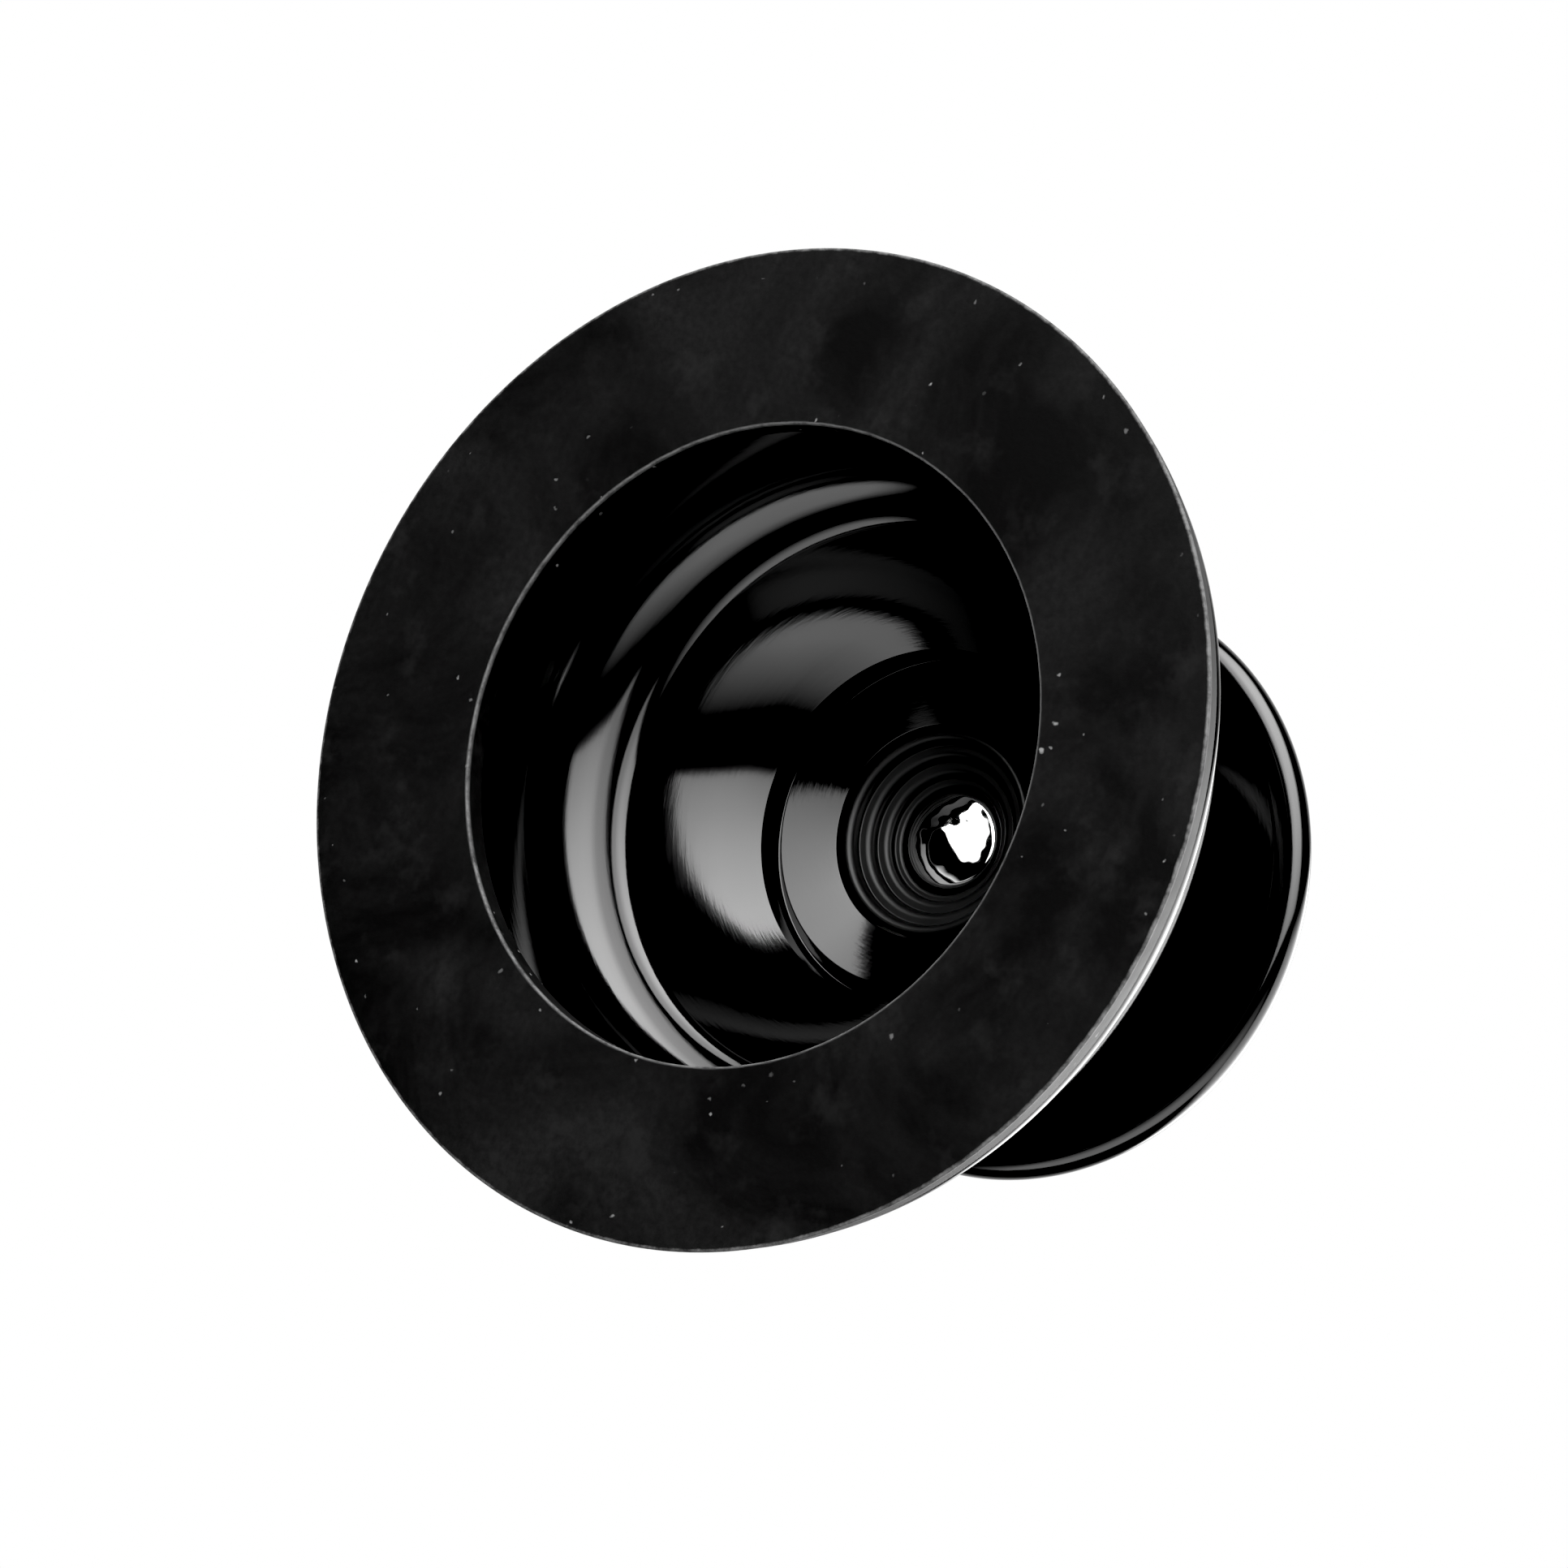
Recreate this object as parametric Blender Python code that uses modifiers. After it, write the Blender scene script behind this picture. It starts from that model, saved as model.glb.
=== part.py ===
"""A lift-out stopper for a kitchen sink disposer: rubber seal, hollow bell and flange, and a knob that swivels.

It stands on its seal. The Z axis is the axis of every piece, and z is 0 at the seal's lower face.
Dimensions are in millimetres, as (radius, height), and are turned into metres where a mesh is made.
"""

import math

import bpy
from mathutils import Vector

MM = 0.001
TOUCH = 0.3  # the gap kept between pieces that touch on the real object

# Seal ring
SEAL_OUTER = 43.0
SEAL_TAPER = 0.6  # how much narrower the ring is at its upper face
SEAL_HOLE = 27.5
SEAL_THICK = 2.4

# Flange and bell: sizes are those of the inner face, and the wall is added outside it
FLANGE_OUTER = 41.9
OUTER_SHOULDER_CENTRE = (22.7, 6.1)  # the thick wall's outside, from the flange up to the dome
OUTER_SHOULDER_RADIUS = 16.0
OUTER_SHOULDER_SWEEP = 75.0
FLANGE_THICK = 2.0
WALL = 1.5
THROAT_RADIUS = 30.6
SHOULDER_RADIUS = 7.4
SHOULDER_START = 13.7  # height where the straight wall turns in to the shoulder
SHOULDER_SWEEP = 60.0
LEDGE_CORNER = (24.86, 20.55)
LEDGE_FILLET = 2.1
DOME_CENTRE = (3.0, 7.4)
DOME_RADIUS = 25.5
DOME_START = 33.0
DOME_END = 60.0
CROWN_HEIGHT = 32.3

# Ferrule: its flange sits inside the bell's crown, and its tube is the stopper's neck
FERRULE_FLANGE = 14.3
FERRULE_EDGE_HEIGHT = 30.25
NECK_MOUTH_HEIGHT = 32.07
NECK_BORE = 9.55
NECK_OUTER = 10.8
NECK_TOP = 42.3
SHAFT_HOLE = 2.6  # clears the screw's shoulder in every piece that it passes through

# Screw
HEAD_RADIUS = 4.5
HEAD_FACE = 12.0  # the radius of its crowned face
HEAD_ROUND = 1.2  # the radius of its rounded edge
HEAD_EDGE = 36.1
HEAD_SEAT = 36.4
SHANK_RADIUS = 2.2
THREAD_RADIUS = 1.9
SCREW_TOP = 55.2

# Bush: the inner radius and the depth of each of its round steps
BUSH_STEPS = ((8.3, 1.1), (7.0, 1.0), (5.75, 0.9))
BUSH_DRAFT = 0.2
BUSH_BORE = 4.85
BUSH_FLOOR = 38.5
BUSH_TOP = 40.5

# Washers and seals in the neck
SPRING_WASHER_RADIUS = 3.7
FLAT_WASHER_RADIUS = 4.35
WASHER_THICK = 0.6
O_RING_RADIUS = 3.45
O_RING_CORD = 0.5
SWIVEL_WASHER_RADIUS = 9.0
SWIVEL_WASHER_THICK = 0.8

# Knob
KNOB_RADIUS = 27.2
KNOB_EDGE_HEIGHT = 51.0
ROLL_RADIUS = 1.5
CAP_THICK = 0.8
CAP_LIP = 24.2
CAP_TOP = 57.5
DISH_RADIUS = 25.6
DISH_THICK = 0.8
STEM_FOOT = 9.4
STEM_WAIST = 7.4
STEM_HEAD = 9.8
BACKING_RADIUS = 8.0
NUT_ACROSS_FLATS = 8.0
NUT_THICK = 2.4

# Fillets
FINE = 0.2
SMALL = 0.3
MEDIUM = 0.4
LARGE = 1.0

ARC_STEP = math.radians(45)
LARGE_SIDES = 64
SMALL_SIDES = 32
SHARP_ANGLE = math.radians(35)


def arc(centre, radius, start, end, steps):
    """Points from one angle to the other, in degrees, counted from the outward direction towards the top."""
    angles = [math.radians(start + (end - start) * step / steps) for step in range(steps + 1)]
    return [(centre[0] + radius * math.cos(a), centre[1] + radius * math.sin(a)) for a in angles]


def cap_arc(apex, edge, steps):
    """Points on a shallow crown, from its apex on the axis out to its edge."""
    drop = apex - edge[1]
    radius = (edge[0] ** 2 + drop**2) / (2 * drop)
    end = math.degrees(math.acos(edge[0] / radius))
    return arc((0, apex - radius), radius, 90, end, steps)


def rounded(corners):
    """The outline through corners (r, z) or (r, z, fillet), with each fillet as an arc."""
    points = []
    for index, corner in enumerate(corners):
        here = Vector(corner[:2])
        if len(corner) == 2:
            points.append(tuple(here))
            continue
        fillet = corner[2]
        back = (Vector(corners[index - 1][:2]) - here).normalized()
        ahead = (Vector(corners[(index + 1) % len(corners)][:2]) - here).normalized()
        half = back.angle(ahead) / 2
        centre = here + (back + ahead).normalized() * fillet / math.sin(half)
        first = here + back * fillet / math.tan(half) - centre
        last = here + ahead * fillet / math.tan(half) - centre
        start = math.atan2(first.y, first.x)
        sweep = (math.atan2(last.y, last.x) - start + math.pi) % math.tau - math.pi
        steps = max(1, round(abs(sweep) / ARC_STEP))
        points += arc(centre, fillet, math.degrees(start), math.degrees(start + sweep), steps)
    return points


def ring_outline(inner, outer, bottom, top):
    return [(outer, top), (outer, bottom), (inner, bottom), (inner, top)]


def make_material(name, colour, roughness, metallic=0.0):
    material = bpy.data.materials.new(name)
    material.use_nodes = True
    shader = material.node_tree.nodes["Principled BSDF"]
    shader.inputs["Base Color"].default_value = (*colour, 1)
    shader.inputs["Roughness"].default_value = roughness
    shader.inputs["Metallic"].default_value = metallic
    material.diffuse_color = (*colour, 1)
    return material


def add_object(name, mesh, collection, parent=None):
    obj = bpy.data.objects.new(name, mesh)
    collection.objects.link(obj)
    obj.parent = parent
    return obj


def settle(obj, material):
    """Keeps the shape that the modifiers give as the object's own mesh, shaded smooth between its sharp edges."""
    bpy.context.view_layer.update()
    evaluated = obj.evaluated_get(bpy.context.evaluated_depsgraph_get())
    mesh = bpy.data.meshes.new_from_object(evaluated)
    mesh.name = obj.name
    obj.modifiers.clear()
    obj.data = mesh
    mesh.materials.clear()
    mesh.materials.append(material)
    mesh.shade_smooth()
    mesh.set_sharp_from_angle(angle=SHARP_ANGLE)
    return obj


def turn(name, outline, collection, parent, sides, closed=True):
    """A profile turned about Z. A profile that isn't closed starts and ends on the axis."""
    count = len(outline)
    edges = [(index, (index + 1) % count) for index in range(count if closed else count - 1)]
    mesh = bpy.data.meshes.new(name + "_profile")
    mesh.from_pydata([(r * MM, 0, z * MM) for r, z in outline], edges, [])
    obj = add_object(name, mesh, collection, parent)
    screw = obj.modifiers.new("Turn", "SCREW")
    screw.axis = "Z"
    screw.steps = sides
    screw.render_steps = sides
    screw.use_merge_vertices = True
    screw.merge_threshold = 0.01 * MM
    return obj


def cut(obj, cutter):
    boolean = obj.modifiers.new("Cut", "BOOLEAN")
    boolean.operation = "DIFFERENCE"
    boolean.solver = "EXACT"
    boolean.object = cutter


def add_cutter(name, primitive, collection, **shape):
    primitive(**shape)
    cutter = bpy.context.object
    cutter.name = name
    for home in list(cutter.users_collection):
        home.objects.unlink(cutter)
    collection.objects.link(cutter)
    cutter.hide_render = True
    cutter.display_type = "WIRE"
    return cutter


def seal_ring_outline():
    return rounded(
        [
            (SEAL_OUTER - SEAL_TAPER, SEAL_THICK, SMALL),
            (SEAL_OUTER, 0, FINE),
            (SEAL_HOLE, 0, FINE),
            (SEAL_HOLE, SEAL_THICK),
        ]
    )


def body_outline():
    """One wall: down the outside of the crown, dome and bell, round the flange, and up the inside."""
    flange_bottom = SEAL_THICK + TOUCH
    flange_top = flange_bottom + FLANGE_THICK
    rim = FLANGE_THICK / 2 - 0.05
    shoulder_centre = (THROAT_RADIUS - SHOULDER_RADIUS, SHOULDER_START)
    crown_hole = NECK_OUTER + TOUCH
    inner_dome = arc(DOME_CENTRE, DOME_RADIUS, DOME_START, DOME_END, 5)
    crown_step = inner_dome[-1][0]
    outside = [
        (crown_hole, CROWN_HEIGHT + WALL),
        (crown_step + WALL, CROWN_HEIGHT + WALL, LARGE),
        (crown_step + WALL, CROWN_HEIGHT - WALL, MEDIUM),
        *arc(DOME_CENTRE, DOME_RADIUS + WALL, DOME_END - 3, DOME_START + 4, 4),
        *arc(OUTER_SHOULDER_CENTRE, OUTER_SHOULDER_RADIUS, OUTER_SHOULDER_SWEEP, 0, 5),
        (OUTER_SHOULDER_CENTRE[0] + OUTER_SHOULDER_RADIUS, flange_top, MEDIUM),
        (FLANGE_OUTER, flange_top, rim),
        (FLANGE_OUTER, flange_bottom, rim),
    ]
    inside = [
        (THROAT_RADIUS, flange_bottom, MEDIUM),
        *arc(shoulder_centre, SHOULDER_RADIUS, 0, SHOULDER_SWEEP, 4),
        (*LEDGE_CORNER, LEDGE_FILLET),
        *inner_dome,
        (crown_step, CROWN_HEIGHT, MEDIUM),
        (crown_hole, CROWN_HEIGHT),
    ]
    return rounded(outside + inside)


def ferrule_outline():
    """A tube closed at its top round the screw, with a conical flange at its foot."""
    return rounded(
        [
            (SHAFT_HOLE, NECK_TOP),
            (NECK_OUTER, NECK_TOP, LARGE),
            (NECK_OUTER, CROWN_HEIGHT - TOUCH),
            (FERRULE_FLANGE, CROWN_HEIGHT - TOUCH),
            (FERRULE_FLANGE, FERRULE_EDGE_HEIGHT),
            (NECK_BORE, NECK_MOUTH_HEIGHT, FINE),
            (NECK_BORE, NECK_TOP - WALL),
            (SHAFT_HOLE, NECK_TOP - WALL),
        ]
    )


def bush_outline():
    """A cup with three round steps that narrow towards the screw's head, and a groove on top for the O-ring."""
    outer = NECK_BORE - TOUCH
    height = NECK_MOUTH_HEIGHT + TOUCH
    groove_outer = O_RING_RADIUS + O_RING_CORD + 0.4
    groove_floor = BUSH_TOP - 2 * O_RING_CORD - 0.4
    corners = [(groove_outer, BUSH_TOP), (outer, BUSH_TOP, SMALL), (outer, height, MEDIUM)]
    for radius, depth in BUSH_STEPS:
        corners.append((radius, height, MEDIUM))
        corners.append((radius - BUSH_DRAFT, height + depth))
        height += depth
    return rounded(
        [
            *corners,
            (BUSH_BORE, height, SMALL),
            (BUSH_BORE, BUSH_FLOOR),
            (SHAFT_HOLE, BUSH_FLOOR),
            (SHAFT_HOLE, groove_floor),
            (groove_outer, groove_floor),
        ]
    )


def screw_outline(shoulder_top):
    """A crowned head with a rounded edge on a plain shoulder, with a thinner end for the nut."""
    lean = math.degrees(math.asin((HEAD_RADIUS - HEAD_ROUND) / (HEAD_FACE - HEAD_ROUND)))
    face_centre = (0, HEAD_EDGE + (HEAD_FACE - HEAD_ROUND) * math.cos(math.radians(lean)))
    return [
        (0, SCREW_TOP),
        (THREAD_RADIUS, SCREW_TOP),
        (THREAD_RADIUS, shoulder_top),
        (SHANK_RADIUS, shoulder_top),
        (SHANK_RADIUS, HEAD_SEAT),
        (HEAD_RADIUS, HEAD_SEAT),
        *arc((HEAD_RADIUS - HEAD_ROUND, HEAD_EDGE), HEAD_ROUND, 0, lean - 90, 4),
        *arc(face_centre, HEAD_FACE, lean - 90, -90, 3)[1:],
    ]


def stem_outline(bottom, top):
    """A waisted sleeve, wider at both ends."""
    return rounded(
        [
            (SHAFT_HOLE, top),
            (STEM_HEAD, top, MEDIUM),
            (STEM_WAIST, top - 2.2, 1.6),
            (STEM_WAIST, bottom + 2.2, LARGE),
            (STEM_FOOT, bottom + 1.4, MEDIUM),
            (STEM_FOOT, bottom, MEDIUM),
            (SHAFT_HOLE, bottom),
        ]
    )


def cap_outline():
    """A crowned shell whose rim is rolled under, to hold the dish."""
    centre = (KNOB_RADIUS - ROLL_RADIUS, KNOB_EDGE_HEIGHT)
    inner_roll = ROLL_RADIUS - CAP_THICK
    lip_bottom = KNOB_EDGE_HEIGHT - ROLL_RADIUS
    crown = cap_arc(CAP_TOP, (centre[0], centre[1] + ROLL_RADIUS), 4)
    inner_crown = cap_arc(CAP_TOP - CAP_THICK, (centre[0], centre[1] + inner_roll), 3)
    return [
        *crown,
        *arc(centre, ROLL_RADIUS, 60, -90, 5),
        (CAP_LIP + 0.4, lip_bottom),
        (CAP_LIP, lip_bottom + 0.4),
        (CAP_LIP, lip_bottom + CAP_THICK),
        *arc(centre, inner_roll, -90, 45, 3),
        *reversed(inner_crown),
    ]


def o_ring_outline(height):
    return arc((O_RING_RADIUS, height), O_RING_CORD, 90, -225, 7)


def build():
    for obj in list(bpy.data.objects):
        bpy.data.objects.remove(obj)
    parts = bpy.data.collections.new("disposer_stopper")
    cutters = bpy.data.collections.new("cutters")
    for collection in (parts, cutters):
        bpy.context.scene.collection.children.link(collection)

    rubber = make_material("seal_rubber", (0.012, 0.012, 0.012), 0.6)
    black_coat = make_material("gloss_black_coat", (0.004, 0.004, 0.004), 0.12)
    plastic = make_material("satin_black_plastic", (0.01, 0.01, 0.01), 0.35)
    chrome = make_material("chrome", (0.75, 0.75, 0.75), 0.05, 1.0)
    steel = make_material("zinc_steel", (0.55, 0.55, 0.56), 0.3, 1.0)

    fixed = add_object("fixed_parts", None, parts)
    knob = add_object("knob_axis", None, parts)

    dish_bottom = KNOB_EDGE_HEIGHT - ROLL_RADIUS + CAP_THICK + TOUCH
    dish_top = dish_bottom + DISH_THICK
    stem_top = dish_bottom - TOUCH
    backing_bottom = dish_top + TOUCH
    nut_bottom = backing_bottom + DISH_THICK + TOUCH
    spring_bottom = HEAD_SEAT + TOUCH
    flat_bottom = spring_bottom + WASHER_THICK + TOUCH
    swivel_bottom = NECK_TOP + TOUCH
    stem_bottom = swivel_bottom + SWIVEL_WASHER_THICK + TOUCH
    bore_of_nut = THREAD_RADIUS + TOUCH

    def turned(name, outline, material, parent, sides=SMALL_SIDES, closed=True):
        return settle(turn(name, outline, parts, parent, sides, closed), material)

    def washer(name, outer, bottom, thick, material, parent, hole=SHAFT_HOLE):
        return turned(name, ring_outline(hole, outer, bottom, bottom + thick), material, parent)

    turned("seal_ring", seal_ring_outline(), rubber, fixed, LARGE_SIDES)
    turned("stopper_body", body_outline(), black_coat, fixed, LARGE_SIDES)
    turned("neck_ferrule", ferrule_outline(), black_coat, fixed)
    turned("neck_bush", bush_outline(), plastic, fixed)
    washer("flat_washer", FLAT_WASHER_RADIUS, flat_bottom, WASHER_THICK, steel, fixed)
    turned("shaft_seal", o_ring_outline(BUSH_TOP - O_RING_CORD - 0.05), rubber, fixed)
    washer("swivel_washer", SWIVEL_WASHER_RADIUS, swivel_bottom, SWIVEL_WASHER_THICK, plastic, fixed)

    spring_outline = ring_outline(SHAFT_HOLE, SPRING_WASHER_RADIUS, spring_bottom, spring_bottom + WASHER_THICK)
    spring_washer = turn("spring_washer", spring_outline, parts, fixed, SMALL_SIDES)
    slit = add_cutter(
        "spring_washer_slit",
        bpy.ops.mesh.primitive_cube_add,
        cutters,
        size=1,
        location=(SPRING_WASHER_RADIUS * MM, 0, (spring_bottom + WASHER_THICK / 2) * MM),
        scale=(4 * MM, 0.6 * MM, 3 * MM),
        rotation=(math.radians(30), 0, 0),
    )
    cut(spring_washer, slit)
    settle(spring_washer, steel)

    turned("pivot_screw", screw_outline(stem_top), chrome, knob, closed=False)
    turned("knob_stem", stem_outline(stem_bottom, stem_top), black_coat, knob)
    dish_outline = ring_outline(bore_of_nut, DISH_RADIUS, dish_bottom, dish_top)
    turned("knob_dish", dish_outline, black_coat, knob, LARGE_SIDES)
    washer("backing_washer", BACKING_RADIUS, backing_bottom, DISH_THICK, steel, knob, bore_of_nut)
    turned("knob_cap", cap_outline(), black_coat, knob, LARGE_SIDES, closed=False)

    bpy.ops.mesh.primitive_cylinder_add(
        vertices=6,
        radius=NUT_ACROSS_FLATS / math.sqrt(3) * MM,
        depth=NUT_THICK * MM,
        location=(0, 0, (nut_bottom + NUT_THICK / 2) * MM),
    )
    knob_nut = bpy.context.object
    knob_nut.name = "knob_nut"
    for home in list(knob_nut.users_collection):
        home.objects.unlink(knob_nut)
    parts.objects.link(knob_nut)
    knob_nut.parent = knob
    nut_bore = add_cutter(
        "knob_nut_bore",
        bpy.ops.mesh.primitive_cylinder_add,
        cutters,
        vertices=SMALL_SIDES,
        radius=bore_of_nut * MM,
        depth=3 * NUT_THICK * MM,
        location=(0, 0, (nut_bottom + NUT_THICK / 2) * MM),
    )
    cut(knob_nut, nut_bore)
    settle(knob_nut, steel)


build()
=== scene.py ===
"""Looks for a lift-out stopper of a kitchen sink disposer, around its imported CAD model.

The turned pieces that show are made again here with a fine surface, from the CAD model's dimensions. Only
the bush's steps and the screw's face have a shape of their own.
Outlines are in millimetres, as (radius, height), and a mesh is in metres, in the row frame.
"""

import math

import bmesh
import bpy
from mathutils import Matrix, Vector, noise

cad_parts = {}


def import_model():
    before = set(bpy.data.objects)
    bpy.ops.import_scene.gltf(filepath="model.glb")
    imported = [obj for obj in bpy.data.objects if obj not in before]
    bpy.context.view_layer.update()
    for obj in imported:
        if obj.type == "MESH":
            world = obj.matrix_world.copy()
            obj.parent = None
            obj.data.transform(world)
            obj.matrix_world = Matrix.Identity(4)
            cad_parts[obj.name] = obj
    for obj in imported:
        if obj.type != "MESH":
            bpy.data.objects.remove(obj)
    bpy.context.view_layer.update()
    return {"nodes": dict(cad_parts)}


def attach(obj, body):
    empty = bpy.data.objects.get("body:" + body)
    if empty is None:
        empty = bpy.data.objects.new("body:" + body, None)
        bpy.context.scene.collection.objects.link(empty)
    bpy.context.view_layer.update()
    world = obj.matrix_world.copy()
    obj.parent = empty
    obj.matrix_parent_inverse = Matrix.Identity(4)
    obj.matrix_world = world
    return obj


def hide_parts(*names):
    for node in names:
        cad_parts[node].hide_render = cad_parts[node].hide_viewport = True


MM = 0.001

# Camera: a long lens below the stopper, which looks up into the bell
LENS = 154.58
SENSOR = 36.0
TILT = math.radians(33.61)  # between the line of sight and the stopper's axis
ROLL = math.radians(25.38)
SEAL_CENTRE_SEEN = Vector((-3.125, -3.487, 559.0)) * MM  # right, down and ahead of the camera

# Studio
LIT_POINT = Vector((0, 0, 25)) * MM  # what the lights face
LIGHT_DISTANCE = 1.0
STUDIO_GLOW = 0.003  # of the dark walls behind the camera, against 1 for the white ahead
WHITE_START, WHITE_FULL = 0.35, 0.85  # the white's edge, as cosines from the line of sight
BLACK_LEVEL = 0.008  # anything darker is black in the picture
FLOOR_RADIUS, FLOOR_FADE_START, FLOOR_FADE_END = 1.2, 0.25, 1.1

# Turned surfaces
LARGE_SIDES = 256
SMALL_SIDES = 128
ARC_STEP = math.radians(6)
SHARP_ANGLE = math.radians(32)
HEAD_STEPS = 16

# The CAD model's dimensions
TOUCH = 0.3  # the gap between neighbours that touch
SEAL_OUTER, SEAL_TAPER, SEAL_HOLE, SEAL_THICK = 43.0, 0.6, 27.5, 2.4
FLANGE_OUTER, FLANGE_THICK, FLANGE_RIM, WALL = 41.9, 2.0, 0.95, 1.5
OUTER_SHOULDER_CENTRE, OUTER_SHOULDER_RADIUS, OUTER_SHOULDER_SWEEP = (22.7, 6.1), 16.0, 75.0
THROAT_RADIUS, SHOULDER_RADIUS, SHOULDER_START = 30.6, 7.4, 13.7
SHOULDER_SWEEP = 60.0
LEDGE_CORNER, LEDGE_FILLET = (24.86, 20.55), 2.1
DOME_CENTRE, DOME_RADIUS, DOME_START, DOME_END = (3.0, 7.4), 25.5, 33.0, 60.0
OUTER_DOME_START, OUTER_DOME_END = 37.0, 57.0
CROWN_HEIGHT = 32.3
FERRULE_FLANGE, FERRULE_EDGE_HEIGHT = 14.3, 30.25
NECK_MOUTH_HEIGHT, NECK_BORE, NECK_OUTER, NECK_TOP = 32.07, 9.55, 10.8, 42.3
SHAFT_HOLE = 2.6
HEAD_RADIUS, HEAD_EDGE, HEAD_SEAT = 4.5, 36.1, 36.4
SHANK_RADIUS, THREAD_RADIUS, SCREW_TOP = 2.2, 1.9, 55.2
THREAD_CHAMFER, HEAD_CHAMFER = 0.3, 0.1
BUSH_BORE, BUSH_FLOOR, BUSH_TOP, BUSH_DRAFT = 4.85, 38.5, 40.5, 0.2
O_RING_RADIUS, O_RING_CORD, GROOVE_GAP = 3.45, 0.5, 0.4
SWIVEL_WASHER_RADIUS, SWIVEL_WASHER_THICK = 9.0, 0.8
KNOB_RADIUS, KNOB_EDGE_HEIGHT, ROLL_RADIUS = 27.2, 51.0, 1.5
CAP_THICK, CAP_LIP, CAP_LIP_ROUND, CAP_TOP = 0.8, 24.2, 0.4, 57.5
CROWN_END, INNER_CROWN_END = 76, 60  # where the knob's crown meets its rolled rim, in degrees
DISH_RADIUS, DISH_THICK = 25.6, 0.8
STEM_FOOT, STEM_WAIST, STEM_HEAD, STEM_FLARE, STEM_FOOT_THICK = 9.4, 7.4, 9.8, 2.2, 1.4

# Shapes of their own: rounder steps in the bush, and a more crowned, tilted and dented face on the screw
BUSH_STEPS = ((8.3, 1.1, 0.7), (7.0, 1.0, 0.7), (5.75, 0.9, 0.65))  # (radius, depth, fillet of the nose)
BUSH_CORNER = 0.15
HEAD_FACE, HEAD_ROUND = 8.5, 1.0  # radii of the screw's crowned face and of its rounded edge
HEAD_TILT, HEAD_TILT_SIDE = -0.8, Vector((0.5, 0.87, 0))  # the rise towards that side, over the radius
HEAD_DENTS = ((420, 0.12), (1100, 0.03))  # (dents in a metre, depth)


def arc(centre, radius, start, end, steps=None):
    """Points from one angle to the other, in degrees, counted from the outward direction towards the top."""
    steps = steps or max(2, math.ceil(abs(math.radians(end - start)) / ARC_STEP))
    angles = [math.radians(start + (end - start) * step / steps) for step in range(steps + 1)]
    return [(centre[0] + radius * math.cos(a), centre[1] + radius * math.sin(a)) for a in angles]


def cap_arc(apex, edge):
    """Points on a shallow crown, from its apex on the axis out to its edge."""
    drop = apex - edge[1]
    radius = (edge[0] ** 2 + drop**2) / (2 * drop)
    end = math.degrees(math.acos(edge[0] / radius))
    points = 24
    angles = [math.radians(90 + (end - 90) * step / points) for step in range(points + 1)]
    return [(radius * math.cos(a), apex - radius + radius * math.sin(a)) for a in angles]


def rounded(corners):
    """The outline through corners (r, z) or (r, z, fillet), with each fillet as a fine arc."""
    points = []
    for index, corner in enumerate(corners):
        here = Vector(corner[:2])
        if len(corner) == 2:
            points.append(tuple(here))
            continue
        fillet = corner[2]
        back = (Vector(corners[index - 1][:2]) - here).normalized()
        ahead = (Vector(corners[(index + 1) % len(corners)][:2]) - here).normalized()
        half = back.angle(ahead) / 2
        centre = here + (back + ahead).normalized() * fillet / math.sin(half)
        first = here + back * fillet / math.tan(half) - centre
        last = here + ahead * fillet / math.tan(half) - centre
        start = math.degrees(math.atan2(first.y, first.x))
        sweep = (math.degrees(math.atan2(last.y, last.x)) - start + 180) % 360 - 180
        points += arc(centre, fillet, start, start + sweep)
    return points


def seal_outline():
    return rounded(
        [
            (SEAL_OUTER - SEAL_TAPER, SEAL_THICK, 0.25),
            (SEAL_OUTER, 0, 0.2),
            (SEAL_HOLE, 0, 0.15),
            (SEAL_HOLE, SEAL_THICK, 0.15),
        ]
    )


def body_outline():
    flange_bottom = SEAL_THICK + TOUCH
    flange_top = flange_bottom + FLANGE_THICK
    shoulder_centre = (THROAT_RADIUS - SHOULDER_RADIUS, SHOULDER_START)
    crown_hole = NECK_OUTER + TOUCH
    inner_dome = arc(DOME_CENTRE, DOME_RADIUS, DOME_START, DOME_END)
    crown_step = inner_dome[-1][0]
    return rounded(
        [
            (crown_hole, CROWN_HEIGHT + WALL, 0.2),
            (crown_step + WALL, CROWN_HEIGHT + WALL, 1.0),
            (crown_step + WALL, CROWN_HEIGHT - WALL, 0.5),
            *arc(DOME_CENTRE, DOME_RADIUS + WALL, OUTER_DOME_END, OUTER_DOME_START),
            *arc(OUTER_SHOULDER_CENTRE, OUTER_SHOULDER_RADIUS, OUTER_SHOULDER_SWEEP, 0),
            (OUTER_SHOULDER_CENTRE[0] + OUTER_SHOULDER_RADIUS, flange_top, 0.4),
            (FLANGE_OUTER, flange_top, FLANGE_RIM),
            (FLANGE_OUTER, flange_bottom, FLANGE_RIM),
            (THROAT_RADIUS, flange_bottom, 0.6),
            *arc(shoulder_centre, SHOULDER_RADIUS, 0, SHOULDER_SWEEP),
            (*LEDGE_CORNER, LEDGE_FILLET),
            *inner_dome,
            (crown_step, CROWN_HEIGHT, 0.4),
            (crown_hole, CROWN_HEIGHT),
        ]
    )


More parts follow.
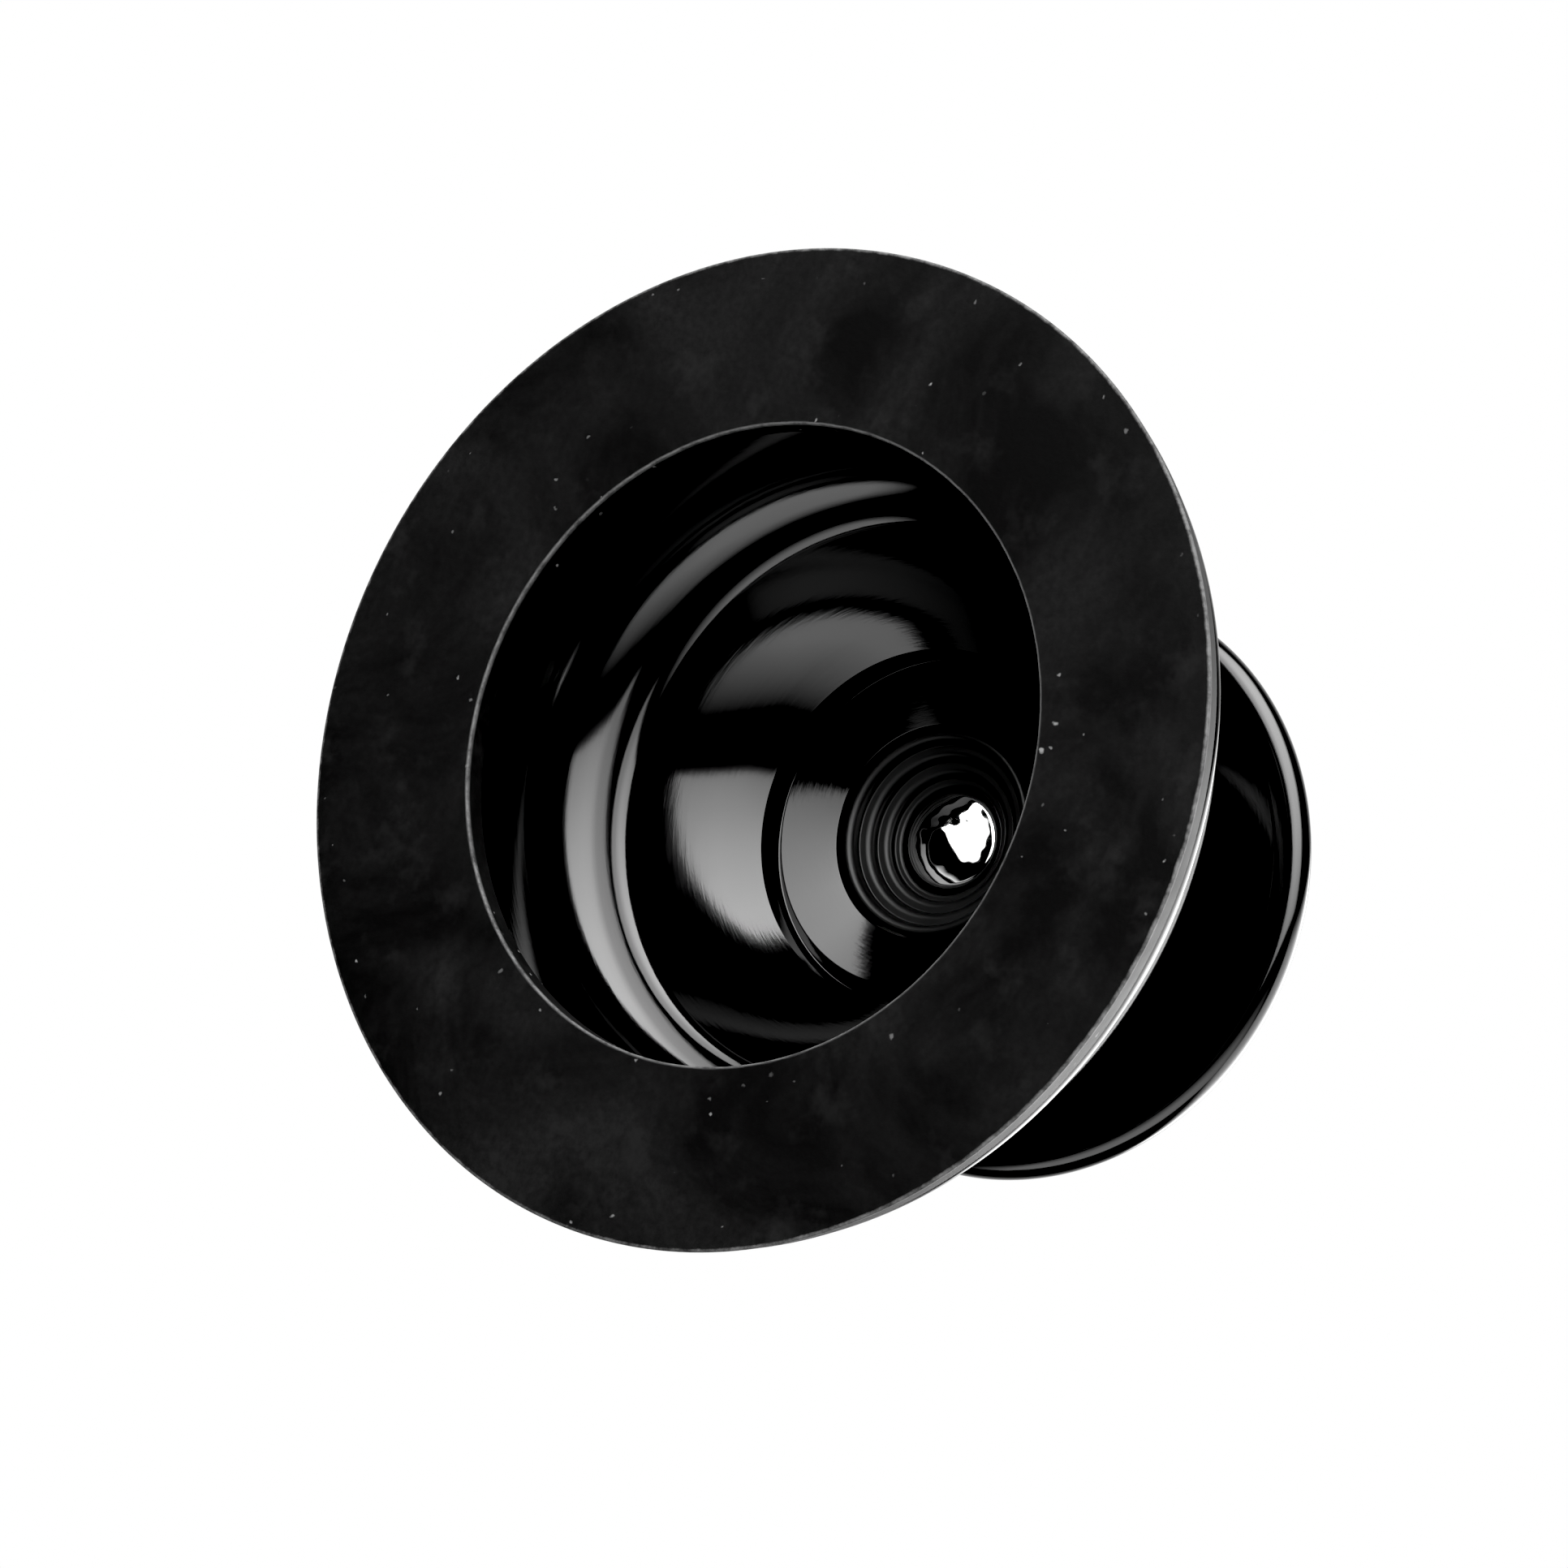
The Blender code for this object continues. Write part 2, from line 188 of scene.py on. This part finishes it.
def ferrule_outline():
    return rounded(
        [
            (SHAFT_HOLE, NECK_TOP, 0.15),
            (NECK_OUTER, NECK_TOP, 1.0),
            (NECK_OUTER, CROWN_HEIGHT - TOUCH),
            (FERRULE_FLANGE, CROWN_HEIGHT - TOUCH, 0.2),
            (FERRULE_FLANGE, FERRULE_EDGE_HEIGHT, 0.12),
            (NECK_BORE, NECK_MOUTH_HEIGHT, 0.2),
            (NECK_BORE, NECK_TOP - WALL),
            (SHAFT_HOLE, NECK_TOP - WALL),
        ]
    )


def bush_outline():
    outer = NECK_BORE - TOUCH
    height = NECK_MOUTH_HEIGHT + TOUCH
    groove_outer = O_RING_RADIUS + O_RING_CORD + GROOVE_GAP
    groove_floor = BUSH_TOP - 2 * O_RING_CORD - GROOVE_GAP
    corners = [(groove_outer, BUSH_TOP), (outer, BUSH_TOP, 0.3), (outer, height, 0.5)]
    for radius, depth, nose in BUSH_STEPS:
        corners.append((radius, height, nose))
        corners.append((radius - BUSH_DRAFT, height + depth, BUSH_CORNER))
        height += depth
    return rounded(
        [
            *corners,
            (BUSH_BORE, height, 0.35),
            (BUSH_BORE, BUSH_FLOOR),
            (SHAFT_HOLE, BUSH_FLOOR),
            (SHAFT_HOLE, groove_floor),
            (groove_outer, groove_floor),
        ]
    )


def screw_outline():
    lean = math.degrees(math.asin((HEAD_RADIUS - HEAD_ROUND) / (HEAD_FACE - HEAD_ROUND)))
    face_centre = (0, HEAD_EDGE + (HEAD_FACE - HEAD_ROUND) * math.cos(math.radians(lean)))
    edge = arc((HEAD_RADIUS - HEAD_ROUND, HEAD_EDGE), HEAD_ROUND, 0, lean - 90, HEAD_STEPS)
    face = arc(face_centre, HEAD_FACE, lean - 90, -90, HEAD_STEPS)
    shoulder_top = KNOB_EDGE_HEIGHT - ROLL_RADIUS + CAP_THICK
    return [
        (0, SCREW_TOP),
        (THREAD_RADIUS - THREAD_CHAMFER, SCREW_TOP),
        (THREAD_RADIUS, SCREW_TOP - THREAD_CHAMFER),
        (THREAD_RADIUS, shoulder_top),
        (SHANK_RADIUS, shoulder_top),
        (SHANK_RADIUS, HEAD_SEAT),
        (HEAD_RADIUS - HEAD_CHAMFER, HEAD_SEAT),
        (HEAD_RADIUS, HEAD_SEAT - HEAD_CHAMFER),
        *edge,
        *face[1:],
    ]


def stem_outline():
    bottom = NECK_TOP + SWIVEL_WASHER_THICK + 2 * TOUCH
    top = KNOB_EDGE_HEIGHT - ROLL_RADIUS + CAP_THICK
    return rounded(
        [
            (SHAFT_HOLE, top),
            (STEM_HEAD, top, 0.4),
            (STEM_WAIST, top - STEM_FLARE, 1.6),
            (STEM_WAIST, bottom + STEM_FLARE, 1.0),
            (STEM_FOOT, bottom + STEM_FOOT_THICK, 0.4),
            (STEM_FOOT, bottom, 0.4),
            (SHAFT_HOLE, bottom),
        ]
    )


def dish_outline():
    bottom = KNOB_EDGE_HEIGHT - ROLL_RADIUS + CAP_THICK + TOUCH
    bore = THREAD_RADIUS + TOUCH
    return rounded(
        [
            (DISH_RADIUS, bottom + DISH_THICK, 0.2),
            (DISH_RADIUS, bottom, 0.2),
            (bore, bottom, 0.1),
            (bore, bottom + DISH_THICK),
        ]
    )


def cap_outline():
    centre = (KNOB_RADIUS - ROLL_RADIUS, KNOB_EDGE_HEIGHT)
    inner_roll = ROLL_RADIUS - CAP_THICK
    lip_bottom = KNOB_EDGE_HEIGHT - ROLL_RADIUS
    crown = cap_arc(CAP_TOP, (centre[0], centre[1] + ROLL_RADIUS))
    inner_crown = cap_arc(CAP_TOP - CAP_THICK, (centre[0], centre[1] + inner_roll))
    lip = arc((CAP_LIP + CAP_LIP_ROUND, lip_bottom + CAP_LIP_ROUND), CAP_LIP_ROUND, -90, -180)
    return [
        *crown,
        *arc(centre, ROLL_RADIUS, CROWN_END, -90),
        *lip,
        (CAP_LIP, lip_bottom + CAP_THICK),
        *arc(centre, inner_roll, -90, INNER_CROWN_END),
        *reversed(inner_crown),
    ]


def swivel_washer_outline():
    bottom = NECK_TOP + TOUCH
    return rounded(
        [
            (SWIVEL_WASHER_RADIUS, bottom + SWIVEL_WASHER_THICK, 0.2),
            (SWIVEL_WASHER_RADIUS, bottom, 0.2),
            (SHAFT_HOLE, bottom),
            (SHAFT_HOLE, bottom + SWIVEL_WASHER_THICK),
        ]
    )


def turn(name, outline, sides):
    """An outline turned about Z. An outline that starts on the axis also ends there, and isn't closed."""
    count = len(outline)
    closed = outline[0][0] > TOUCH
    edges = [(index, (index + 1) % count) for index in range(count if closed else count - 1)]
    mesh = bpy.data.meshes.new(name)
    mesh.from_pydata([(r * MM, 0, z * MM) for r, z in outline], edges, [])
    piece = bpy.data.objects.new(name, mesh)
    bpy.context.scene.collection.objects.link(piece)
    screw = piece.modifiers.new("Turn", "SCREW")
    screw.axis = "Z"
    screw.steps = sides
    screw.render_steps = sides
    screw.use_merge_vertices = True
    screw.merge_threshold = 0.002 * MM
    bpy.context.view_layer.update()
    turned = bpy.data.meshes.new_from_object(piece.evaluated_get(bpy.context.evaluated_depsgraph_get()))
    piece.modifiers.clear()
    piece.data = turned
    turned.name = name
    turned.shade_smooth()
    turned.set_sharp_from_angle(angle=SHARP_ANGLE)
    return piece


class Nodes:
    """A short way to build a node tree."""

    def __init__(self, tree):
        self.tree = tree

    def add(self, kind, inputs=(), **settings):
        node = self.tree.nodes.new(kind)
        for key, value in settings.items():
            setattr(node, key, value)
        for key, value in dict(inputs).items():
            if isinstance(value, bpy.types.NodeSocket):
                self.tree.links.new(value, node.inputs[key])
            else:
                node.inputs[key].default_value = value
        return node

    def maths(self, operation, a, b=0.0, clamp=False):
        node = self.add("ShaderNodeMath", {0: a, 1: b}, operation=operation, use_clamp=clamp)
        return node.outputs[0]

    def noise(self, vector, scale, detail=3.0, roughness=0.5, distortion=0.0):
        values = {
            "Vector": vector,
            "Scale": scale,
            "Detail": detail,
            "Roughness": roughness,
            "Distortion": distortion,
        }
        return self.add("ShaderNodeTexNoise", values).outputs["Fac"]

    def warp(self, place):
        """A place with a small, uneven shift, so that spots aren't round."""
        uneven = self.add("ShaderNodeTexNoise", {"Vector": place, "Scale": 1600.0, "Detail": 2.0})
        halves = {0: uneven.outputs["Color"], 1: (0.5, 0.5, 0.5)}
        centred = self.add("ShaderNodeVectorMath", halves, operation="SUBTRACT")
        shift = self.add("ShaderNodeVectorMath", {0: centred.outputs[0], "Scale": 0.0006}, operation="SCALE")
        return self.add("ShaderNodeVectorMath", {0: place, 1: shift.outputs[0]}, operation="ADD").outputs[0]

    def remap(self, value, low, high, to_low=0.0, to_high=1.0, smooth=False):
        node = self.add(
            "ShaderNodeMapRange",
            {0: value, 1: low, 2: high, 3: to_low, 4: to_high},
            interpolation_type="SMOOTHSTEP" if smooth else "LINEAR",
        )
        return node.outputs[0]

    def blend_colour(self, factor, first, second):
        node = self.add("ShaderNodeMix", data_type="RGBA")
        for socket, value in ((node.inputs[0], factor), (node.inputs[6], first), (node.inputs[7], second)):
            if isinstance(value, bpy.types.NodeSocket):
                self.tree.links.new(value, socket)
            else:
                socket.default_value = value
        return node.outputs[2]

    def turned_place(self):
        """(place, x, y, z, radius) on a piece that is turned about Z."""
        place = self.add("ShaderNodeTexCoord").outputs["Object"]
        parts = self.add("ShaderNodeSeparateXYZ", {0: place})
        x, y, z = parts.outputs
        squares = self.maths("ADD", self.maths("MULTIPLY", x, x), self.maths("MULTIPLY", y, y))
        radius = self.maths("SQRT", squares)
        return place, x, y, z, radius


def new_material(name):
    material = bpy.data.materials.new(name)
    material.use_nodes = True
    shader = material.node_tree.nodes["Principled BSDF"]
    return material, Nodes(material.node_tree), shader


def link(nodes, shader, **sockets):
    for name, value in sockets.items():
        nodes.tree.links.new(value, shader.inputs[name.replace("_", " ")])


def grey(value):
    return (value, value, value, 1)


def gloss_black_coat(name):
    """Black enamel on spun metal: fine lines round the axis, faint orange peel, smudges and some dust."""
    material, nodes, shader = new_material(name)
    place, x, y, z, radius = nodes.turned_place()
    # The lines run round the axis, so the pattern is stretched along the turning direction.
    round_place = nodes.add(
        "ShaderNodeCombineXYZ",
        {
            0: nodes.maths("MULTIPLY", radius, 60.0),
            1: nodes.maths("MULTIPLY", z, 60.0),
            2: nodes.maths("MULTIPLY", nodes.maths("ARCTAN2", y, x), 0.12),
        },
    ).outputs[0]
    lines = nodes.noise(round_place, 60.0, detail=4.0, roughness=0.6)
    peel = nodes.noise(place, 900.0, detail=2.0)
    smudge = nodes.noise(place, 55.0, detail=4.0, roughness=0.6, distortion=0.4)
    rough = nodes.remap(smudge, 0.35, 0.75, 0.07, 0.14)
    height = nodes.maths("ADD", lines, nodes.maths("MULTIPLY", peel, 0.35))
    bump = nodes.add("ShaderNodeBump", {"Strength": 0.35, "Distance": 0.000012, "Height": height})
    dust = nodes.remap(nodes.noise(place, 2600.0, detail=1.0), 0.76, 0.8)
    colour = nodes.blend_colour(dust, grey(0.0003), grey(0.004))
    link(nodes, shader, Base_Color=colour, Roughness=rough, Normal=bump.outputs[0])
    shader.inputs["IOR"].default_value = 1.5
    return material


def seal_rubber(name):
    """Matt black rubber: clouded and rubbed, with specks near its edges, and a painted highlight along them,
    a rough pale line on the face.
    """
    material, nodes, shader = new_material(name)
    place, _, _, z, radius = nodes.turned_place()
    cloud = nodes.noise(place, 42.0, detail=6.0, roughness=0.62, distortion=1.2)
    grain = nodes.noise(place, 1500.0, detail=3.0, roughness=0.7)
    patches = nodes.noise(place, 160.0, detail=4.0, roughness=0.7)
    clouds = nodes.maths("MULTIPLY", nodes.remap(cloud, 0.38, 0.72), nodes.remap(grain, 0.3, 0.7, 0.6, 1.3))
    rubbed = nodes.maths("MULTIPLY", nodes.remap(patches, 0.55, 0.75), 0.6)
    shade = nodes.maths("ADD", clouds, rubbed, clamp=True)
    base = nodes.blend_colour(shade, grey(0.0008), grey(0.0075))

    # Specks: few over most of the face, more within a few millimetres of the two edges
    from_middle = nodes.maths("ABSOLUTE", nodes.maths("SUBTRACT", radius, (SEAL_OUTER + SEAL_HOLE) / 2 * MM))
    face_half = (SEAL_OUTER - SEAL_HOLE) / 2 * MM
    few = nodes.remap(from_middle, face_half * 0.45, face_half, 0.975, 0.8)
    for scale, size in ((420.0, 0.12), (900.0, 0.16)):
        spots = {"Vector": nodes.warp(place), "Scale": scale, "Randomness": 1.0}
        cells = nodes.add("ShaderNodeTexVoronoi", spots)
        near = nodes.remap(cells.outputs["Distance"], size * 0.5, size, 1.0, 0.0)
        pick, bright, _ = nodes.add("ShaderNodeSeparateColor", {0: cells.outputs["Color"]}).outputs
        chosen = nodes.maths("GREATER_THAN", pick, few)
        speck = nodes.maths("MULTIPLY", near, nodes.maths("MULTIPLY", chosen, bright), clamp=True)
        base = nodes.blend_colour(speck, base, grey(0.14))

    # Painted highlight: a pale, ragged line on the face along its two edges, standing in for the light on
    # their rounded corners
    edge_highlight_noise = nodes.noise(place, 600.0, detail=4.0, roughness=0.75)
    ragged = nodes.maths("ADD", radius, nodes.maths("MULTIPLY", edge_highlight_noise, 0.3 * MM))
    inner = nodes.remap(ragged, (SEAL_HOLE + 0.25) * MM, (SEAL_HOLE + 0.4) * MM, 1.0, 0.0)
    outer = nodes.remap(ragged, (SEAL_OUTER - 0.2) * MM, SEAL_OUTER * MM)
    edges = nodes.maths("MAXIMUM", inner, outer)
    broken_edge_highlight = nodes.maths("MULTIPLY", edges, nodes.remap(edge_highlight_noise, 0.35, 0.6, 0.25, 1.0))
    edge = nodes.maths("MULTIPLY", broken_edge_highlight, nodes.remap(z, 0.2 * MM, 0.5 * MM, 1.0, 0.0))
    # The painted highlight's pale grey, laid over the rubber's own colour on the face side
    colour = nodes.blend_colour(edge, base, grey(0.09))
    bump = nodes.add("ShaderNodeBump", {"Strength": 0.5, "Distance": 0.00003, "Height": grain})
    rough = nodes.remap(cloud, 0.3, 0.7, 0.62, 0.5)
    link(nodes, shader, Base_Color=colour, Roughness=rough, Normal=bump.outputs[0])
    shader.inputs["IOR"].default_value = 1.5
    shader.inputs["Specular IOR Level"].default_value = 0.1
    return material


def satin_plastic(name):
    """Moulded black plastic with a fine grain and faint smudges."""
    material, nodes, shader = new_material(name)
    place = nodes.turned_place()[0]
    grain = nodes.noise(place, 1800.0, detail=2.0)
    smudge = nodes.noise(place, 120.0, detail=4.0, roughness=0.6)
    rough = nodes.remap(smudge, 0.3, 0.7, 0.4, 0.48)
    colour = nodes.blend_colour(smudge, grey(0.001), grey(0.002))
    bump = nodes.add("ShaderNodeBump", {"Strength": 0.3, "Distance": 0.000015, "Height": grain})
    link(nodes, shader, Base_Color=colour, Roughness=rough, Normal=bump.outputs[0])
    return material


def chrome(name):
    """Bright plate with a slight ripple and patches of haze."""
    material, nodes, shader = new_material(name)
    place = nodes.turned_place()[0]
    ripple = nodes.noise(place, 320.0, detail=2.0)
    haze = nodes.noise(place, 900.0, detail=4.0, roughness=0.7)
    rough = nodes.remap(haze, 0.4, 0.75, 0.02, 0.12)
    bump = nodes.add("ShaderNodeBump", {"Strength": 0.6, "Distance": 0.0001, "Height": ripple})
    link(nodes, shader, Roughness=rough, Normal=bump.outputs[0])
    shader.inputs["Base Color"].default_value = grey(0.75)
    shader.inputs["Metallic"].default_value = 1.0
    return material


def zinc_steel(name):
    """Zinc-plated steel, mottled in colour and gloss."""
    material, nodes, shader = new_material(name)
    place = nodes.turned_place()[0]
    grain = nodes.noise(place, 700.0, detail=4.0, roughness=0.6)
    rough = nodes.remap(grain, 0.3, 0.7, 0.25, 0.4)
    colour = nodes.blend_colour(grain, (0.4, 0.41, 0.43, 1), (0.6, 0.6, 0.62, 1))
    bump = nodes.add("ShaderNodeBump", {"Strength": 0.3, "Distance": 0.00002, "Height": grain})
    link(nodes, shader, Base_Color=colour, Roughness=rough, Normal=bump.outputs[0])
    shader.inputs["Metallic"].default_value = 1.0
    return material


def peen(screw):
    """Gives the screw's crowned face a tilt and shallow dents, which fade out towards its edge."""
    reach = HEAD_RADIUS * MM
    for vertex in screw.data.vertices:
        place = vertex.co
        across = math.hypot(place.x, place.y) / reach
        if place.z > HEAD_EDGE * MM or across >= 1:
            continue
        share = 1 - across**4
        dent = sum(noise.noise(place * density) * depth for density, depth in HEAD_DENTS)
        place.z += share * MM * (dent + HEAD_TILT * place.dot(HEAD_TILT_SIDE) / reach)


def view_axes():
    """The camera's right, down and forward directions."""
    forward = Vector((0, math.sin(TILT), math.cos(TILT)))
    across = Vector((0, -math.cos(TILT), math.sin(TILT)))
    side = Vector((1, 0, 0))
    right = across * math.cos(ROLL) - side * math.sin(ROLL)
    down = across * math.sin(ROLL) + side * math.cos(ROLL)
    return right, down, forward


def add_camera():
    right, down, forward = view_axes()
    camera = bpy.data.objects.new("camera", bpy.data.cameras.new("camera"))
    camera.data.lens = LENS
    camera.data.sensor_width = SENSOR
    camera.data.clip_start = 0.01
    camera.data.clip_end = 20.0
    place = -(right * SEAL_CENTRE_SEEN.x + down * SEAL_CENTRE_SEEN.y + forward * SEAL_CENTRE_SEEN.z)
    turning = Matrix((right, -down, -forward)).transposed()
    camera.matrix_world = Matrix.Translation(place) @ turning.to_4x4()
    bpy.context.scene.collection.objects.link(camera)
    bpy.context.scene.camera = camera


def ramp(nodes, value, stops):
    """A light's strength along one side: the stops are (place, strength), in order, each from 0 to 1."""
    node = nodes.add("ShaderNodeValToRGB", {0: value})
    elements = node.color_ramp.elements
    for element, (place, strength) in ((elements[0], stops[0]), (elements[1], stops[-1])):
        element.position = place
        element.color = grey(strength)
    for place, strength in stops[1:-1]:
        elements.new(place).color = grey(strength)
    return node.outputs[0]


def softbox(name, direction, size, top_side, strength, across, along):
    """A lit panel that faces the stopper and that the camera doesn't see.

    Its light varies from its left to its right side as the stops in across say, and from its lower to its
    upper side as those in along say. The upper side is the one towards top_side.
    """
    mesh = bpy.data.meshes.new(name)
    shape = bmesh.new()
    bmesh.ops.create_grid(shape, x_segments=1, y_segments=1, size=0.5)
    shape.to_mesh(mesh)
    shape.free()
    panel = bpy.data.objects.new(name, mesh)
    bpy.context.scene.collection.objects.link(panel)
    back = direction.normalized()
    side = top_side.cross(back).normalized()
    top = back.cross(side)
    turning = Matrix((side, top, back)).transposed()
    panel.matrix_world = Matrix.Translation(LIT_POINT + back * LIGHT_DISTANCE) @ turning.to_4x4()
    panel.scale = (*size, 1)
    panel.visible_camera = False
    material = bpy.data.materials.new(name)
    material.use_nodes = True
    tree = material.node_tree
    tree.nodes.clear()
    nodes = Nodes(tree)
    place = nodes.add("ShaderNodeTexCoord").outputs["Object"]
    x, y, _ = nodes.add("ShaderNodeSeparateXYZ", {0: place}).outputs
    glow = nodes.maths(
        "MULTIPLY",
        ramp(nodes, nodes.maths("ADD", x, 0.5), across),
        ramp(nodes, nodes.maths("ADD", y, 0.5), along),
    )
    emission = nodes.add("ShaderNodeEmission", {"Strength": nodes.maths("MULTIPLY", glow, strength)})
    output = nodes.add("ShaderNodeOutputMaterial")
    tree.links.new(emission.outputs[0], output.inputs[0])
    panel.data.materials.append(material)


def seen_from_camera(across, up):
    """The direction this many degrees to the right of, and above, the way back to the camera."""
    right, down, forward = view_axes()
    away = math.hypot(across, up)
    if away == 0:
        return -forward
    swing = math.sin(math.radians(away))
    sideways = right * (swing * across / away) - down * (swing * up / away)
    return sideways - forward * math.cos(math.radians(away))


def add_lights():
    """Two panels in front of the stopper, above and below the camera, and one at its lower right."""
    right, down, forward = view_axes()
    up = -down
    softbox(
        "upper_softbox",
        seen_from_camera(13, 49),
        (2.0, 1.85),
        up,
        11.5,
        across=((0.02, 0.0), (0.06, 0.5), (0.22, 0.6), (0.4, 0.95), (0.5, 1.0), (0.74, 0.9), (0.9, 0.0)),
        along=(
            (0.0, 0.0),
            (0.03, 0.42),
            (0.2, 0.56),
            (0.36, 0.75),
            (0.55, 0.95),
            (0.7, 1.0),
            (0.9, 0.8),
            (1.0, 0.5),
        ),
    )
    softbox(
        "lower_softbox",
        seen_from_camera(-8, -38),
        (2.4, 0.9),
        up,
        3.2,
        across=((0.0, 0.0), (0.15, 0.9), (0.5, 1.0), (0.75, 0.7), (1.0, 0.0)),
        along=((0.0, 0.0), (0.12, 1.0), (0.5, 0.9), (0.8, 0.4), (1.0, 0.0)),
    )
    softbox(
        "side_softbox",
        right * 0.85 + down * 0.55 + forward * 0.15,
        (1.3, 2.6),
        forward,
        11.0,
        across=((0.0, 0.0), (0.2, 1.0), (0.8, 1.0), (1.0, 0.0)),
        along=((0.13, 0.0), (0.21, 0.3), (0.46, 0.45), (0.68, 0.9), (0.8, 1.0), (0.95, 1.0), (1.0, 0.0)),
    )


def add_world():
    """White behind the stopper, as a cut-out picture has it, and a dark studio round the camera."""
    world = bpy.data.worlds.new("studio")
    bpy.context.scene.world = world
    world.use_nodes = True
    tree = world.node_tree
    tree.nodes.clear()
    nodes = Nodes(tree)
    direction = nodes.add("ShaderNodeTexCoord").outputs["Generated"]
    forward = view_axes()[2]
    ahead = nodes.add("ShaderNodeVectorMath", {0: direction, 1: forward}, operation="DOT_PRODUCT")
    studio = nodes.remap(ahead.outputs["Value"], WHITE_START, WHITE_FULL, STUDIO_GLOW, 1.0, smooth=True)
    camera_ray = nodes.add("ShaderNodeLightPath").outputs["Is Camera Ray"]
    strength = nodes.maths("MAXIMUM", studio, camera_ray)
    background = nodes.add("ShaderNodeBackground", {"Color": grey(1.0), "Strength": strength})
    output = nodes.add("ShaderNodeOutputWorld")
    tree.links.new(background.outputs[0], output.inputs[0])


def add_floor():
    """A pale floor under the stopper, seen from above only, that fades into the white round it."""
    mesh = bpy.data.meshes.new("floor")
    shape = bmesh.new()
    bmesh.ops.create_circle(shape, cap_ends=True, segments=96, radius=FLOOR_RADIUS)
    shape.to_mesh(mesh)
    shape.free()
    floor = bpy.data.objects.new("floor", mesh)
    floor.location.z = -0.2 * MM
    bpy.context.scene.collection.objects.link(floor)
    floor.visible_diffuse = False
    floor.visible_glossy = False
    floor.visible_transmission = False
    floor.visible_shadow = False
    material = bpy.data.materials.new("floor")
    material.use_nodes = True
    tree = material.node_tree
    tree.nodes.clear()
    nodes = Nodes(tree)
    radius = nodes.turned_place()[4]
    behind = nodes.add("ShaderNodeNewGeometry").outputs["Backfacing"]
    far = nodes.remap(radius, FLOOR_FADE_START, FLOOR_FADE_END, smooth=True)
    fade = nodes.maths("MAXIMUM", far, behind)
    paint = nodes.add("ShaderNodeBsdfDiffuse", {"Color": grey(0.8)})
    clear = nodes.add("ShaderNodeBsdfTransparent")
    mix = nodes.add("ShaderNodeMixShader", {0: fade, 1: paint.outputs[0], 2: clear.outputs[0]})
    output = nodes.add("ShaderNodeOutputMaterial")
    tree.links.new(mix.outputs[0], output.inputs[0])
    floor.data.materials.append(material)


def set_view():
    view = bpy.context.scene.view_settings
    view.view_transform = "Standard"
    view.look = "None"
    view.use_curve_mapping = True
    view.curve_mapping.black_level = (BLACK_LEVEL,) * 3
    view.curve_mapping.update()


def add_turned_pieces(materials):
    """The turned pieces, each in place of its CAD node."""
    washer = swivel_washer_outline()
    pieces = [
        ("rubber_ring", seal_outline(), LARGE_SIDES, "stopper", "seal_ring", "seal_rubber"),
        ("spun_body", body_outline(), LARGE_SIDES, "stopper", "stopper_body", "gloss_black_coat"),
        ("ferrule", ferrule_outline(), SMALL_SIDES, "stopper", "neck_ferrule", "gloss_black_coat"),
        ("bush", bush_outline(), SMALL_SIDES, "stopper", "neck_bush", "satin_black_plastic"),
        ("thrust_washer", washer, SMALL_SIDES, "stopper", "swivel_washer", "satin_black_plastic"),
        ("screw", screw_outline(), SMALL_SIDES, "knob", "pivot_screw", "chrome"),
        ("stem_sleeve", stem_outline(), SMALL_SIDES, "knob", "knob_stem", "gloss_black_coat"),
        ("dish_plate", dish_outline(), LARGE_SIDES, "knob", "knob_dish", "gloss_black_coat"),
        ("cap_shell", cap_outline(), LARGE_SIDES, "knob", "knob_cap", "gloss_black_coat"),
    ]
    for name, outline, sides, body, node, slot in pieces:
        piece = turn(name, outline, sides)
        if name == "screw":
            peen(piece)
        piece.data.materials.append(materials[slot])
        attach(piece, body)
        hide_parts(node)


def finish_kept_nodes(nodes, materials):
    """The hidden pieces keep their CAD shape, and get a fuller material."""
    slots = {
        "flat_washer": "zinc_steel",
        "spring_washer": "zinc_steel",
        "backing_washer": "zinc_steel",
        "knob_nut": "zinc_steel",
        "shaft_seal": "seal_rubber",
    }
    for node, slot in slots.items():
        data = nodes[node].data
        data.materials.clear()
        data.materials.append(materials[slot])


def main():
    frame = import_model()
    set_view()
    add_camera()
    add_world()
    add_lights()
    add_floor()

    makers = {
        "gloss_black_coat": gloss_black_coat,
        "seal_rubber": seal_rubber,
        "satin_black_plastic": satin_plastic,
        "chrome": chrome,
        "zinc_steel": zinc_steel,
    }
    materials = {slot: make(slot) for slot, make in makers.items()}
    add_turned_pieces(materials)
    finish_kept_nodes(frame["nodes"], materials)


main()
